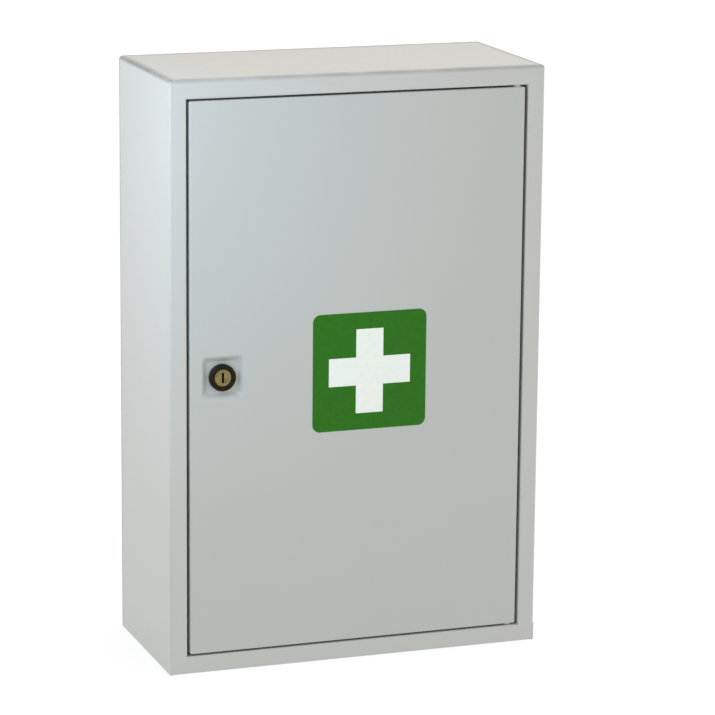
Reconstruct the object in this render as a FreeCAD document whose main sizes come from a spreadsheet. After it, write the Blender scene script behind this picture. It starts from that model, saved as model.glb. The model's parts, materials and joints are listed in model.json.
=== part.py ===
"""First aid cabinet: a folded steel case with an inset door on pivot pins, a cam lock and two shelves.

Millimetres, +Z up. The door faces -Y, and the origin is the middle of the footprint, where the case stands.
Positive door angles swing the door out about its right-hand pivots.
"""
import FreeCAD, Part
import math
import os
from types import SimpleNamespace

import Sketcher

SIZES = {
    # Case: outside sizes, the sheet it is folded from and the inside radii of its bends.
    # The bends at the top corners are larger than those of the frame by corner_extra.
    "width": 300.0,
    "height": 460.0,
    "depth": 136.0,
    "sheet": 0.8,
    "frame_bend": 1.2,
    "corner_extra": 1.0,
    "lip_bend": 0.8,
    # Front frame round the door opening, the stop behind the door and the flanges under the back panel.
    "side_frame": 13.6,
    "top_frame": 15.0,
    "bottom_frame": 14.0,
    "stop_width": 9.0,
    "rear_flange": 12.0,
    # Wall fixing holes in the back panel.
    "wall_hole_radius": 3.5,
    "wall_holes_across": 220.0,
    "wall_holes_up": 340.0,
    # Door pan and the gaps round it.
    "lock_side_gap": 2.1,
    "hinge_side_gap": 2.4,
    "door_gap": 1.4,
    "door_depth": 18.0,
    "door_bend": 0.5,
    "door_corner_extra": 0.3,
    "door_return": 10.0,
    # Hat channel behind the door skin.
    "stiffener_width": 40.0,
    "stiffener_flange": 10.0,
    "stiffener_depth": 10.0,
    "stiffener_end_gap": 4.0,
    # Pivot pins, their bushes and the doublers that hold the bushes.
    "pivot_inset": 5.4,
    "pivot_setback": 5.0,
    "pin_radius": 1.75,
    "pin_head_radius": 3.4,
    "pin_head_height": 1.5,
    "pin_shoulder_radius": 2.8,
    "pin_reach": 8.0,
    "bush_radius": 2.6,
    "bush_flange_radius": 3.4,
    "bush_flange": 0.8,
    "bush_depth": 6.0,
    "hinge_plate_reach": 20.0,
    "hinge_plate": 2.0,
    # Dished square in the door skin, with the lock in the middle of it.
    "lock_inset": 26.4,
    "recess_size": 33.4,
    "recess_floor": 25.4,
    "recess_depth": 4.0,
    "recess_corner": 2.5,
    "recess_rim": 0.9,
    # Lock housing and what clamps it to the door.
    "lock_head_radius": 10.4,
    "lock_head_height": 4.6,
    "lock_head_round": 1.6,
    "barrel_radius": 8.5,
    "lock_washer": 1.0,
    "lock_washer_radius": 11.5,
    "lock_nut": 4.0,
    "lock_nut_flats": 21.0,
    # Lock plug with its keyway, and the cam on its tang.
    "plug_head_radius": 6.8,
    "plug_head": 2.0,
    "plug_sink": 1.2,
    "plug_round": 0.4,
    "plug_radius": 5.5,
    "keyway_width": 1.8,
    "keyway_height": 8.0,
    "keyway_depth": 12.0,
    "tang": 7.0,
    "cam": 2.0,
    "cam_width": 14.0,
    "cam_corner": 4.0,
    "cam_tip_gap": 1.5,
    "cam_washer": 1.0,
    "cam_washer_radius": 6.0,
    "cam_screw_radius": 2.0,
    "cam_screw_head_radius": 4.0,
    "cam_screw_head": 2.4,
    "cam_screw_reach": 7.0,
    # Shelves, the cleats under them and the screws that join the two.
    "shelf_setback": 34.0,
    "shelf_lip": 14.0,
    "shelf_bend": 0.8,
    "cleat_leg": 14.0,
    "cleat_sheet": 1.2,
    "cleat_bend": 0.8,
    "cleat_end_gap": 6.0,
    "screw_inset": 12.0,
    "screw_radius": 2.0,
    "screw_head_radius": 3.8,
    "screw_head": 2.0,
    "screw_head_round": 1.2,
    "screw_reach": 7.0,
    "screw_slot_width": 1.0,
    "screw_slot_depth": 0.7,
    # Rubber buffers on the door stop.
    "buffer_radius": 3.2,
    "buffer_height": 1.8,
    # Vinyl sign on the door.
    "sign_size": 92.0,
    "sign_corner": 6.0,
    "sign_offset": 9.6,
    "sign_arm_reach": 33.0,
    "sign_arm_width": 22.0,
    "vinyl": 0.15,
    # Clearances, and how far a cut runs past what it cuts.
    "running_fit": 0.05,
    "loose_fit": 0.15,
    "thrust_gap": 0.1,
    "buffer_gap": 0.3,
    "cam_gap": 0.3,
    "cam_clearance": 0.6,
    "shelf_gap": 0.4,
    "overrun": 0.5,
}

LOWER_SHELF_SHARE = 0.335
UPPER_SHELF_SHARE = 0.665
SHELF_HEIGHT_SHARES = {"lower": LOWER_SHELF_SHARE, "upper": UPPER_SHELF_SHARE}
LOCK_HEIGHT_SHARE = 0.505
SIDE_BUFFER_SHARES = (0.15, 0.85)
END_BUFFER_SHARE = 0.3
HEX_TIP_SHARE = math.sqrt(1 / 3)

PLANE_NORMALS = {"XY_Plane": 1, "XZ_Plane": -1, "YZ_Plane": 1}
ON_PLACE = 1e-4


class Size:
    """A number taken or worked out from the sheet, with the expression that gives it."""

    def __init__(self, number, words):
        self.number = number
        self.words = words

    def __add__(self, other):
        other = as_size(other)
        return Size(self.number + other.number, f"({self.words} + {other.words})")

    def __sub__(self, other):
        other = as_size(other)
        return Size(self.number - other.number, f"({self.words} - {other.words})")

    def __mul__(self, factor):
        return Size(self.number * factor, f"({self.words} * {factor})")

    def __truediv__(self, divisor):
        return Size(self.number / divisor, f"({self.words} / {divisor})")

    def __neg__(self):
        return self * -1


def as_size(value):
    """The value itself if it is a size already, or a plain number as a size."""
    return value if isinstance(value, Size) else Size(value, str(value))


def fill_sheet():
    """Writes the driving dimensions to the sheet and gives them back as sizes."""
    sheet = doc.addObject("Spreadsheet::Sheet", "sizes")
    for row, (alias, number) in enumerate(SIZES.items(), 1):
        sheet.set(f"A{row}", alias)
        sheet.set(f"B{row}", str(number))
        sheet.setAlias(f"B{row}", alias)
    doc.recompute()
    return SimpleNamespace(**{alias: Size(sheet.get(alias), f"sizes.{alias}") for alias in SIZES})


def bind(thing, name, value):
    """Ties one property to the sheet."""
    thing.setExpression(name, as_size(value).words)


def new_body(name):
    body = doc.addObject("PartDesign::Body", name)
    body.Label = name
    return body


def new_sketch(body, plane, level):
    """A sketch on one of the body's own planes, moved along the plane's axis to its level."""
    sketch = body.newObject("Sketcher::SketchObject", f"{body.Name}_sketch")
    origin_plane = next(item for item in body.Origin.OriginFeatures if item.Role == plane)
    sketch.AttachmentSupport = [(origin_plane, "")]
    sketch.MapMode = "FlatFace"
    bind(sketch, "AttachmentOffset.Base.z", as_size(level) * PLANE_NORMALS[plane])
    return sketch


def flat_point(place):
    return FreeCAD.Vector(as_size(place[0]).number, as_size(place[1]).number, 0)


def hold_point(sketch, geometry, point, place):
    """Ties one point of the sketch to its place, measured from the sketch's origin."""
    for direction, value in zip(("DistanceX", "DistanceY"), place):
        rule = Sketcher.Constraint(direction, -1, 1, geometry, point, as_size(value).number)
        bind(sketch, f"Constraints[{sketch.addConstraint(rule)}]", value)


def draw_outline(sketch, corners):
    """A closed outline of straight lines through the corners."""
    first = sketch.GeometryCount
    ends = corners[1:] + corners[:1]
    for start, end in zip(corners, ends):
        sketch.addGeometry(Part.LineSegment(flat_point(start), flat_point(end)), False)
    for index, corner in enumerate(corners):
        following = first + (index + 1) % len(corners)
        sketch.addConstraint(Sketcher.Constraint("Coincident", first + index, 2, following, 1))
        hold_point(sketch, first + index, 1, corner)


def draw_box(sketch, left, low, right, high):
    draw_outline(sketch, [(left, low), (right, low), (right, high), (left, high)])


def draw_square(sketch, centre, side):
    half = as_size(side) / 2
    draw_box(sketch, centre[0] - half, centre[1] - half, centre[0] + half, centre[1] + half)


def draw_circle(sketch, centre, radius):
    upright = FreeCAD.Vector(0, 0, 1)
    circle = sketch.addGeometry(Part.Circle(flat_point(centre), upright, radius.number), False)
    hold_point(sketch, circle, 3, centre)
    rule = Sketcher.Constraint("Radius", circle, radius.number)
    bind(sketch, f"Constraints[{sketch.addConstraint(rule)}]", radius)


def settle(feature):
    """Works the document out again, and stops if the feature failed."""
    doc.recompute()
    if {"Invalid", "Error"} & set(feature.State) or feature.Shape.isNull():
        raise RuntimeError(f"{feature.Name} did not build")


def plane_normal(sketch):
    return PLANE_NORMALS[sketch.AttachmentSupport[0][0].Role]


def pad(sketch, length):
    """Builds the sketch up from its level towards +X, +Y or +Z."""
    body = sketch.getParentGeoFeatureGroup()
    feature = body.newObject("PartDesign::Pad", f"{body.Name}_pad")
    feature.Profile = sketch
    feature.Reversed = plane_normal(sketch) < 0
    bind(feature, "Length", length)
    settle(feature)
    return feature


def pocket(sketch, length):
    """Cuts the sketch from its level towards +X, +Y or +Z, and makes sure that something was cut."""
    body = sketch.getParentGeoFeatureGroup()
    volume_before = body.Tip.Shape.Volume
    feature = body.newObject("PartDesign::Pocket", f"{body.Name}_pocket")
    feature.Profile = sketch
    feature.Reversed = plane_normal(sketch) > 0
    bind(feature, "Length", length)
    settle(feature)
    if not feature.Shape.Volume < volume_before:
        raise RuntimeError(f"{feature.Name} cuts nothing")
    return feature


def taper(feature, run, rise):
    """Draws the walls of a pad or pocket in by run over the rise."""
    feature.setExpression("TaperAngle", f"-atan({run.words} / {rise.words})")
    settle(feature)


def lies(box, **places):
    """Whether a box is flat at each of the places given for x, y and z."""
    for axis, place in places.items():
        number = as_size(place).number
        ends = (getattr(box, axis.upper() + "Min"), getattr(box, axis.upper() + "Max"))
        if max(abs(end - number) for end in ends) > ON_PLACE:
            return False
    return True


def runs_along(box, axis):
    """Whether an edge's box is straight along one axis."""
    lengths = {"x": box.XLength, "y": box.YLength, "z": box.ZLength}
    long_side = lengths.pop(axis)
    return long_side > ON_PLACE > max(lengths.values())


def round_edges(body, radius, wanted):
    """Rounds the edges whose boxes are wanted."""
    base = body.Tip
    feature = body.newObject("PartDesign::Fillet", f"{body.Name}_round")
    edges = enumerate(base.Shape.Edges, 1)
    feature.Base = (base, [f"Edge{number}" for number, edge in edges if wanted(edge.BoundBox)])
    bind(feature, "Radius", radius)
    settle(feature)


def hollow(body, wall, opened):
    """Leaves a wall under the skin of the body, open at the faces whose boxes are given as opened."""
    base = body.Tip
    feature = body.newObject("PartDesign::Thickness", f"{body.Name}_hollow")
    faces = enumerate(base.Shape.Faces, 1)
    feature.Base = (base, [f"Face{number}" for number, face in faces if opened(face.BoundBox)])
    feature.Reversed = True
    bind(feature, "Value", wall)
    settle(feature)


def plate_ring(body, plane, level, length, centre, outer, inner):
    """A round plate or sleeve with a round hole."""
    ring = new_sketch(body, plane, level)
    draw_circle(ring, centre, outer)
    draw_circle(ring, centre, inner)
    pad(ring, length)


def disc(body, plane, level, length, centre, radius):
    round_sketch = new_sketch(body, plane, level)
    draw_circle(round_sketch, centre, radius)
    pad(round_sketch, length)


def drill(body, plane, level, length, centre, radius):
    hole = new_sketch(body, plane, level)
    draw_circle(hole, centre, radius)
    pocket(hole, length)


def group(name, members):
    """Several separate solids that share one node."""
    compound = doc.addObject("Part::Compound", name)
    compound.Label = name
    compound.Links = members
    return compound


doc = FreeCAD.newDocument("first_aid_cabinet")
size = fill_sheet()

# Inside radii of the larger bends.
corner_bend = size.frame_bend + size.corner_extra
door_corner_bend = size.door_bend + size.door_corner_extra

# Case planes.
half_width = size.width / 2
front = -size.depth / 2
back = size.depth / 2
panel_front = back - size.sheet
open_left = -half_width + size.side_frame
open_right = half_width - size.side_frame
open_bottom = size.bottom_frame
open_top = size.height - size.top_frame

# Door planes, and the stop behind the door.
door_left = open_left + size.lock_side_gap
door_right = open_right - size.hinge_side_gap
door_bottom = open_bottom + size.door_gap
door_top = open_top - size.door_gap
door_back = front + size.door_depth
door_middle = (door_left + door_right) / 2
stop_front = door_back + size.buffer_height + size.buffer_gap
stop_back = stop_front + size.sheet

# Hinge axis.
pivot = (door_right - size.pivot_inset, front + size.pivot_setback)
pin_hole_radius = size.pin_radius + size.running_fit
bush_hole_radius = size.bush_radius + size.running_fit
shoulder_height = size.door_gap - size.bush_flange - size.thrust_gap

# Lock axis, and the planes along it.
lock_place = (door_left + size.lock_inset, door_bottom + (door_top - door_bottom) * LOCK_HEIGHT_SHARE)
recess_front = front + size.recess_depth
recess_back = recess_front + size.sheet
head_front = recess_front - size.lock_head_height
plug_front = head_front + size.plug_sink
cam_front = stop_back + size.cam_clearance
cam_back = cam_front + size.cam
barrel_end = cam_front - size.cam_gap
cam_reach = lock_place[0] - open_left - size.cam_tip_gap

# Shelf planes.
shelf_front = front + size.shelf_setback
shelf_back = panel_front - size.sheet - size.shelf_gap
wall_inside = half_width - size.sheet
shelf_half = wall_inside - size.shelf_gap
cleat_front = shelf_front + size.sheet + size.cleat_end_gap
cleat_back = shelf_back - size.sheet - size.cleat_end_gap
screw_across = wall_inside - size.cleat_leg / 2
screw_rows = (cleat_front + size.screw_inset, cleat_back - size.screw_inset)


def make_body_wrap():
    """Left side, top and right side in one folded sheet, with the frame, lip and stop round the door."""
    wrap = new_body("body_wrap")
    block = new_sketch(wrap, "XZ_Plane", front)
    draw_box(block, -half_width, 0, half_width, size.height)
    pad(block, size.depth - size.sheet)
    round_edges(wrap, corner_bend + size.sheet,
                lambda box: runs_along(box, "y") and lies(box, z=size.height))
    round_edges(wrap, size.frame_bend + size.sheet,
                lambda box: lies(box, y=front) and not lies(box, z=0))
    hollow(wrap, size.sheet, lambda box: lies(box, z=0))

    opening = new_sketch(wrap, "XZ_Plane", front)
    draw_box(opening, open_left, -size.overrun, open_right, open_top)
    pocket(opening, size.sheet)
    front_notch = new_sketch(wrap, "XZ_Plane", front)
    draw_box(front_notch, -half_width - size.overrun, -size.overrun, half_width + size.overrun, open_bottom)
    pocket(front_notch, size.sheet)
    rear_opening = new_sketch(wrap, "XZ_Plane", panel_front - size.sheet)
    draw_box(rear_opening, -half_width + size.rear_flange, -size.overrun,
             half_width - size.rear_flange, size.height - size.rear_flange)
    pocket(rear_opening, size.sheet)
    rear_notch = new_sketch(wrap, "XZ_Plane", panel_front - size.sheet)
    draw_box(rear_notch, -wall_inside, -size.overrun, wall_inside, size.rear_flange)
    pocket(rear_notch, size.sheet)

    lip = new_sketch(wrap, "XZ_Plane", front)
    draw_outline(lip, [
        (open_left - size.sheet, open_bottom), (open_left, open_bottom), (open_left, open_top),
        (open_right, open_top), (open_right, open_bottom), (open_right + size.sheet, open_bottom),
        (open_right + size.sheet, open_top + size.sheet), (open_left - size.sheet, open_top + size.sheet)])
    pad(lip, stop_back - front)
    stop = new_sketch(wrap, "XZ_Plane", stop_front)
    draw_outline(stop, [
        (open_left, open_bottom), (open_left + size.stop_width, open_bottom),
        (open_left + size.stop_width, open_top - size.stop_width),
        (open_right - size.stop_width, open_top - size.stop_width),
        (open_right - size.stop_width, open_bottom), (open_right, open_bottom),
        (open_right, open_top), (open_left, open_top)])
    pad(stop, size.sheet)
    round_edges(wrap, size.lip_bend + size.sheet, lambda box: lies(box, y=front) and (
        lies(box, x=open_left) or lies(box, x=open_right) or lies(box, z=open_top)))
    drill(wrap, "XY_Plane", open_top - size.overrun, size.sheet + size.overrun * 2, pivot, pin_hole_radius)
    return wrap


def make_bottom_panel():
    """Floor between the sides, with the full-width front flange, lip, stop and rear flange folded up."""
    floor = new_body("bottom_panel")
    profile = new_sketch(floor, "YZ_Plane", -half_width)
    draw_outline(profile, [
        (front, 0), (panel_front, 0), (panel_front, size.rear_flange),
        (panel_front - size.sheet, size.rear_flange), (panel_front - size.sheet, size.sheet),
        (front + size.sheet, size.sheet), (front + size.sheet, open_bottom - size.sheet),
        (stop_back, open_bottom - size.sheet), (stop_back, open_bottom + size.stop_width),
        (stop_front, open_bottom + size.stop_width), (stop_front, open_bottom), (front, open_bottom)])
    pad(profile, size.width)
    round_edges(floor, size.frame_bend, lambda box: lies(box, y=front + size.sheet, z=size.sheet))
    round_edges(floor, size.frame_bend + size.sheet, lambda box: lies(box, y=front, z=0))
    round_edges(floor, size.lip_bend + size.sheet, lambda box: lies(box, y=front, z=open_bottom))

    side_cuts = new_sketch(floor, "XY_Plane", 0)
    flange_back = front + size.sheet
    relief_back = flange_back + size.frame_bend
    for side in (-1, 1):
        outer = half_width * side
        wall = wall_inside * side
        relief = (wall_inside - size.frame_bend) * side
        draw_outline(side_cuts, [
            (outer, flange_back), (relief, flange_back), (relief, relief_back),
            (wall, relief_back), (wall, panel_front), (outer, panel_front)])
    pocket(side_cuts, open_bottom + size.stop_width)
    stop_ends = new_sketch(floor, "XZ_Plane", stop_front)
    draw_box(stop_ends, -half_width, open_bottom, open_left + size.stop_width, open_bottom + size.stop_width)
    draw_box(stop_ends, open_right - size.stop_width, open_bottom, half_width, open_bottom + size.stop_width)
    pocket(stop_ends, size.sheet)
    drill(floor, "XY_Plane", open_bottom - size.sheet - size.overrun, size.sheet + size.overrun * 2,
          pivot, pin_hole_radius)
    return floor


def make_back_panel():
    """Flat back, welded on the rear flanges, with the holes that take the wall screws."""
    panel = new_body("back_panel")
    outline = new_sketch(panel, "XZ_Plane", panel_front)
    draw_box(outline, -half_width, 0, half_width, size.height)
    pad(outline, size.sheet)
    round_edges(panel, corner_bend + size.sheet,
                lambda box: runs_along(box, "y") and lies(box, z=size.height))
    holes = new_sketch(panel, "XZ_Plane", panel_front)
    for side in (-1, 1):
        for level in (-1, 1):
            place = (size.wall_holes_across / 2 * side, size.height / 2 + size.wall_holes_up / 2 * level)
            draw_circle(holes, place, size.wall_hole_radius)
    pocket(holes, size.sheet)
    return panel


def shelf_level(story):
    """Height of a shelf's top face."""
    return size.height * SHELF_HEIGHT_SHARES[story]


def make_shelf(story):
    """Shelf with its front and back edges folded down, and clearance holes for its screws."""
    shelf = new_body(f"{story}_shelf")
    top = shelf_level(story)
    profile = new_sketch(shelf, "YZ_Plane", -shelf_half)
    draw_outline(profile, [
        (shelf_front, top), (shelf_front, top - size.shelf_lip),
        (shelf_front + size.sheet, top - size.shelf_lip), (shelf_front + size.sheet, top - size.sheet),
        (shelf_back - size.sheet, top - size.sheet), (shelf_back - size.sheet, top - size.shelf_lip),
        (shelf_back, top - size.shelf_lip), (shelf_back, top)])
    pad(profile, shelf_half * 2)
    round_edges(shelf, size.shelf_bend + size.sheet, lambda box: runs_along(box, "x") and lies(box, z=top))
    round_edges(shelf, size.shelf_bend, lambda box: runs_along(box, "x") and lies(box, z=top - size.sheet))
    holes = new_sketch(shelf, "XY_Plane", top - size.sheet)
    for side in (-1, 1):
        for row in screw_rows:
            draw_circle(holes, (screw_across * side, row), size.screw_radius + size.loose_fit)
    pocket(holes, size.sheet)
    return shelf


def make_cleat(story, hand, side):
    """Angle welded to one side wall, which carries one end of a shelf."""
    cleat = new_body(f"{hand}_{story}_cleat")
    top = shelf_level(story) - size.sheet
    wall = wall_inside * side
    inner = (wall_inside - size.cleat_leg) * side
    web = (wall_inside - size.cleat_sheet) * side
    profile = new_sketch(cleat, "XZ_Plane", cleat_front)
    draw_outline(profile, [
        (wall, top), (inner, top), (inner, top - size.cleat_sheet), (web, top - size.cleat_sheet),
        (web, top - size.cleat_leg), (wall, top - size.cleat_leg)])
    pad(profile, cleat_back - cleat_front)
    round_edges(cleat, size.cleat_bend + size.cleat_sheet, lambda box: lies(box, x=wall, z=top))
    round_edges(cleat, size.cleat_bend, lambda box: lies(box, x=web, z=top - size.cleat_sheet))
    holes = new_sketch(cleat, "XY_Plane", top - size.cleat_sheet)
    for row in screw_rows:
        draw_circle(holes, (screw_across * side, row), size.screw_radius + size.loose_fit)
    pocket(holes, size.cleat_sheet)
    return cleat


def make_shelf_screws():
    """Slotted pan-head screws through shelf and cleat: one is modelled and the others are copies of it."""
    screw = new_body("shelf_screw")
    centre = (0, 0)
    disc(screw, "XY_Plane", 0, size.screw_head, centre, size.screw_head_radius)
    round_edges(screw, size.screw_head_round, lambda box: lies(box, z=size.screw_head))
    disc(screw, "XY_Plane", -size.screw_reach, size.screw_reach, centre, size.screw_radius)
    slot = new_sketch(screw, "XY_Plane", size.screw_head - size.screw_slot_depth)
    draw_box(slot, -size.screw_head_radius, -size.screw_slot_width / 2,
             size.screw_head_radius, size.screw_slot_width / 2)
    pocket(slot, size.screw_slot_depth)
    copies = []
    for story in SHELF_HEIGHT_SHARES:
        for side in (-1, 1):
            for row in screw_rows:
                copy = doc.addObject("App::Link", "shelf_screw_copy")
                copy.LinkedObject = screw
                for axis, place in zip("xyz", (screw_across * side, row, shelf_level(story))):
                    bind(copy, f"Placement.Base.{axis}", place)
                copies.append(copy)
    return group("shelf_screws", copies)


def make_pivot_pin(name, lip_face, upward):
    """Pin riveted in a lip of the frame, with a shoulder in the door gap and a journal in the door's bush.

    lip_face is the lip's face on the door's side, and upward is 1 where the journal points up.
    """
    pin = new_body(name)

    def span(start, end):
        """Level and length of a stretch between two distances from the lip's face, towards the door."""
        low, high = (start, end) if upward > 0 else (end, start)
        return lip_face + as_size(low) * upward, as_size(end) - start

    shank_start = -size.sheet - size.pin_head_height
    level, length = span(shank_start, size.door_gap + size.pin_reach)
    disc(pin, "XY_Plane", level, length, pivot, size.pin_radius)
    level, length = span(shank_start, -size.sheet)
    disc(pin, "XY_Plane", level, length, pivot, size.pin_head_radius)
    level, length = span(0, shoulder_height)
    disc(pin, "XY_Plane", level, length, pivot, size.pin_shoulder_radius)
    return pin


def make_bush(name, sleeve_level, flange_level):
    """Flanged nylon bush in a door corner."""
    bush = new_body(name)
    plate_ring(bush, "XY_Plane", sleeve_level, size.bush_depth + size.bush_flange, pivot,
               size.bush_radius, pin_hole_radius)
    plate_ring(bush, "XY_Plane", flange_level, size.bush_flange, pivot,
               size.bush_flange_radius, pin_hole_radius)
    return bush


def make_hinge_plate(name, level):
    """Doubler welded inside a door corner, which carries the bush."""
    plate = new_body(name)
    outline = new_sketch(plate, "XY_Plane", level)
    margin = size.sheet + door_corner_bend + size.loose_fit
    draw_box(outline, pivot[0] - size.hinge_plate_reach, front + margin,
             door_right - margin, door_back - margin)
    pad(outline, size.hinge_plate)
    drill(plate, "XY_Plane", level, size.hinge_plate, pivot, bush_hole_radius)
    return plate


def make_door_skin():
    """Door pan with folded edges, inner returns and the dished square for the lock."""
    door = new_body("door_skin")
    block = new_sketch(door, "XZ_Plane", front)
    draw_box(block, door_left, door_bottom, door_right, door_top)
    pad(block, size.door_depth)
    round_edges(door, door_corner_bend + size.sheet, lambda box: runs_along(box, "y"))
    round_edges(door, size.door_bend + size.sheet, lambda box: lies(box, y=front))
    hollow(door, size.sheet, lambda box: lies(box, y=door_back))

    wall = size.sheet
    inner = size.sheet + size.door_return
    returns = new_sketch(door, "XZ_Plane", door_back - size.sheet)
    draw_box(returns, door_left + wall, door_bottom + wall, door_right - wall, door_top - wall)
    draw_box(returns, door_left + inner, door_bottom + inner, door_right - inner, door_top - inner)
    pad(returns, size.sheet)

    run = (size.recess_size - size.recess_floor) / 2
    dish = new_sketch(door, "XZ_Plane", front)
    draw_square(dish, lock_place, size.recess_size + size.sheet * 2)
    taper(pad(dish, recess_back - front), run, size.recess_depth)
    hollow_sketch = new_sketch(door, "XZ_Plane", front)
    draw_square(hollow_sketch, lock_place, size.recess_size)
    taper(pocket(hollow_sketch, size.recess_depth), run, size.recess_depth)
    round_edges(door, size.recess_corner,
                lambda box: min(box.XLength, box.YLength, box.ZLength) > size.sheet.number)
    round_edges(door, size.recess_rim, lambda box: lies(box, y=front) and beside_lock(box))
    drill(door, "XZ_Plane", recess_front, size.sheet, lock_place, size.barrel_radius + size.loose_fit)

    drill(door, "XY_Plane", door_top - size.sheet, size.sheet, pivot, bush_hole_radius)
    drill(door, "XY_Plane", door_bottom, size.sheet, pivot, bush_hole_radius)
    return door


def beside_lock(box):
    """Whether an edge's box lies within the dished square."""
    reach = size.recess_size.number / 2 + ON_PLACE
    across, up = (place.number for place in lock_place)
    return max(across - box.XMin, box.XMax - across, up - box.ZMin, box.ZMax - up) < reach


def make_door_stiffener():
    """Hat channel welded behind the middle of the door skin."""
    hat = new_body("door_stiffener")
    inside = front + size.sheet
    crown = inside + size.stiffener_depth
    left = door_middle - size.stiffener_width / 2
    right = door_middle + size.stiffener_width / 2
    end_margin = size.sheet + size.door_return + size.stiffener_end_gap
    profile = new_sketch(hat, "XY_Plane", door_bottom + end_margin)
    draw_outline(profile, [
        (left - size.stiffener_flange, inside), (left + size.sheet, inside),
        (left + size.sheet, crown - size.sheet), (right - size.sheet, crown - size.sheet),
        (right - size.sheet, inside), (right + size.stiffener_flange, inside),
        (right + size.stiffener_flange, inside + size.sheet), (right, inside + size.sheet),
        (right, crown), (left, crown), (left, inside + size.sheet),
        (left - size.stiffener_flange, inside + size.sheet)])
    pad(profile, door_top - door_bottom - end_margin * 2)
    round_edges(hat, size.sheet, lambda box: runs_along(box, "z") and lies(box, y=crown))
    return hat


def make_lock_housing():
    """Lock barrel with its round head in the dished square."""
    housing = new_body("lock_housing")
    disc(housing, "XZ_Plane", head_front, size.lock_head_height, lock_place, size.lock_head_radius)
    round_edges(housing, size.lock_head_round, lambda box: lies(box, y=head_front))
    disc(housing, "XZ_Plane", recess_front, barrel_end - recess_front, lock_place, size.barrel_radius)
    drill(housing, "XZ_Plane", head_front, barrel_end - head_front, lock_place,
          size.plug_radius + size.running_fit)
    drill(housing, "XZ_Plane", head_front, size.plug_sink + size.plug_head + size.thrust_gap, lock_place,
          size.plug_head_radius + size.running_fit)
    return housing


def make_lock_washer():
    """Washer between the back of the dished square and the nut."""
    washer = new_body("lock_washer")
    plate_ring(washer, "XZ_Plane", recess_back, size.lock_washer, lock_place,
               size.lock_washer_radius, size.barrel_radius + size.loose_fit)
    return washer


def make_lock_nut():
    """Hexagon nut on the lock barrel."""
    nut = new_body("lock_nut")
    tip = size.lock_nut_flats * HEX_TIP_SHARE
    half_flats = size.lock_nut_flats / 2
    across, up = lock_place
    outline = new_sketch(nut, "XZ_Plane", recess_back + size.lock_washer)
    draw_outline(outline, [
        (across, up + tip), (across + half_flats, up + tip / 2), (across + half_flats, up - tip / 2),
        (across, up - tip), (across - half_flats, up - tip / 2), (across - half_flats, up + tip / 2)])
    pad(outline, size.lock_nut)
    drill(nut, "XZ_Plane", recess_back + size.lock_washer, size.lock_nut, lock_place,
          size.barrel_radius + size.running_fit)
    return nut


def make_lock_plug():
    """Plug that turns in the housing, with an upright keyway and a square tang for the cam."""
    plug = new_body("lock_plug")
    disc(plug, "XZ_Plane", plug_front, size.plug_head, lock_place, size.plug_head_radius)
    round_edges(plug, size.plug_round, lambda box: lies(box, y=plug_front))
    disc(plug, "XZ_Plane", plug_front, cam_front - plug_front, lock_place, size.plug_radius)
    tang = new_sketch(plug, "XZ_Plane", cam_front)
    draw_square(tang, lock_place, size.tang)
    pad(tang, size.cam)
    keyway = new_sketch(plug, "XZ_Plane", plug_front)
    across, up = lock_place
    draw_box(keyway, across - size.keyway_width / 2, up - size.keyway_height / 2,
             across + size.keyway_width / 2, up + size.keyway_height / 2)
    pocket(keyway, size.keyway_depth)
    drill(plug, "XZ_Plane", cam_back - size.cam_screw_reach, size.cam_screw_reach, lock_place,
          size.cam_screw_radius + size.running_fit)
    return plug


def make_lock_cam():
    """Cam on the plug's tang: it hangs down while unlocked, and turns behind the left door stop to lock."""
    cam = new_body("lock_cam")
    across, up = lock_place
    outline = new_sketch(cam, "XZ_Plane", cam_front)
    draw_box(outline, across - size.cam_width / 2, up - cam_reach,
             across + size.cam_width / 2, up + size.cam_width / 2)
    pad(outline, size.cam)
    round_edges(cam, size.cam_corner, lambda box: runs_along(box, "y"))
    hole = new_sketch(cam, "XZ_Plane", cam_front)
    draw_square(hole, lock_place, size.tang + size.running_fit * 2)
    pocket(hole, size.cam)
    return cam


def make_cam_washer():
    """Washer under the head of the cam's screw."""
    washer = new_body("cam_washer")
    plate_ring(washer, "XZ_Plane", cam_back, size.cam_washer, lock_place,
               size.cam_washer_radius, size.cam_screw_radius + size.loose_fit)
    return washer


def make_cam_screw():
    """Slotted screw that holds the cam on the plug."""
    screw = new_body("cam_screw")
    head = cam_back + size.cam_washer
    disc(screw, "XZ_Plane", head, size.cam_screw_head, lock_place, size.cam_screw_head_radius)
    round_edges(screw, size.screw_head_round, lambda box: lies(box, y=head + size.cam_screw_head))
    shank = cam_back - size.cam_screw_reach
    disc(screw, "XZ_Plane", shank, head - shank, lock_place, size.cam_screw_radius)
    across, up = lock_place
    slot = new_sketch(screw, "XZ_Plane", head + size.cam_screw_head - size.screw_slot_depth)
    draw_box(slot, across - size.cam_screw_head_radius, up - size.screw_slot_width / 2,
             across + size.cam_screw_head_radius, up + size.screw_slot_width / 2)
    pocket(slot, size.screw_slot_depth)
    return screw


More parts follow.
